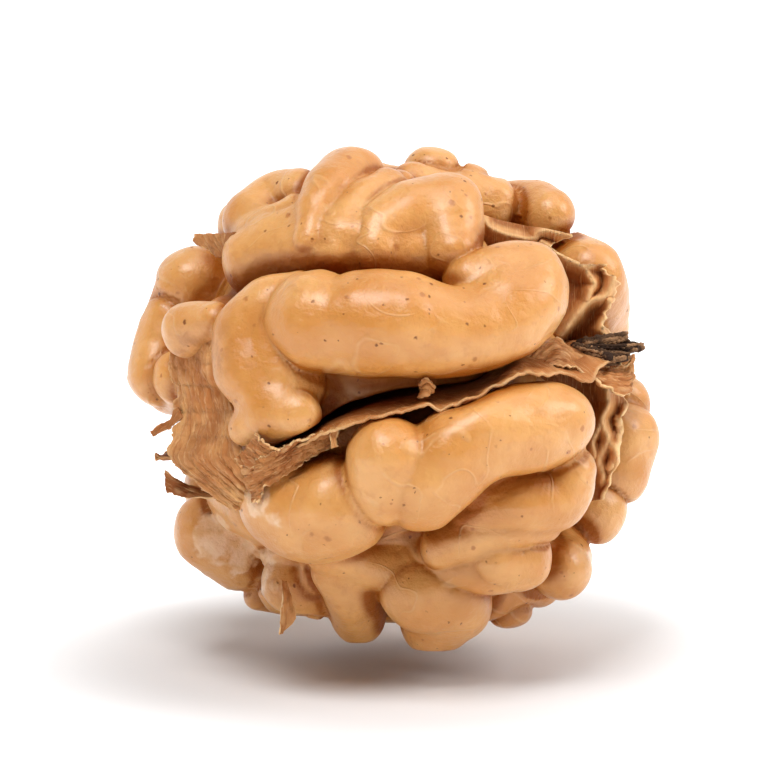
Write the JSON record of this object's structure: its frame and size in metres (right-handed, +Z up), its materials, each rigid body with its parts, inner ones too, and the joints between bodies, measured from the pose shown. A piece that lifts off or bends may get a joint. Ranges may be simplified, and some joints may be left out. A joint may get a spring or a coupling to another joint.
{
  "type": "walnut kernel",
  "caption": "Whole shelled walnut kernel: folded upper and lower halves with the papery partition in the crack and a tuft of stem fibres, resting on its lower folds.",
  "frame": {"origin": "on the floor under the middle of the kernel's box", "axes": "+X from the pointed end to the stem end, +Z up from the folds that it rests on, +Y away from the side the picture shows"},
  "size_m": [0.0319, 0.0296, 0.0292],
  "materials": {
    "kernel_skin": "tan waxy seed coat, soft sheen, fine veins and small brown specks",
    "partition_paper": "dry papery shell lining, matt, pinkish brown",
    "stem_wood": "dark woody strands, rough"
  },
  "bodies": {
    "root": {"kernel": "kernel_skin", "partition": "partition_paper", "stem_fibres": "stem_wood"}
  },
  "joints": []
}
